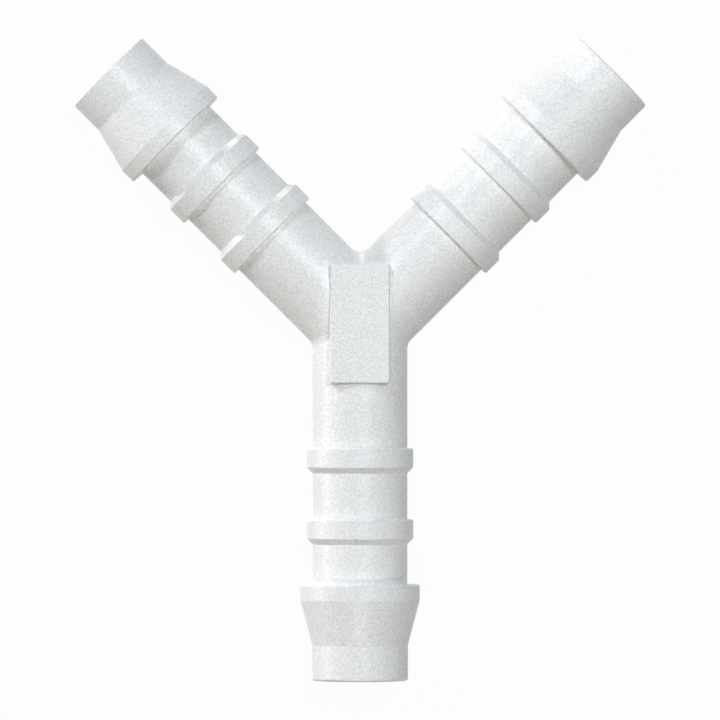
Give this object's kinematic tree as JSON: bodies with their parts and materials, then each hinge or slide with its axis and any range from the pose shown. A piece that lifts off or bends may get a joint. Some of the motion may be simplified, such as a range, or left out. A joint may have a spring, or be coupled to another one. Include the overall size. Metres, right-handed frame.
{
  "type": "tubing y connector",
  "caption": "Y-shaped barbed hose connector, moulded in one piece, with a flat label pad at the junction and through bores that meet.",
  "frame": {"origin": "the point where the three bore axes meet, inside the junction", "axes": "+Z out of the label pad, square to the plane of the three axes; -Y along the stem; the arms run ahead at 45 degrees to either side of +Y"},
  "size_m": [0.0482, 0.0542, 0.01],
  "materials": {
    "moulding": "fine spark-eroded grain, white"
  },
  "bodies": {
    "root": {"y_connector": "moulding"}
  },
  "joints": []
}
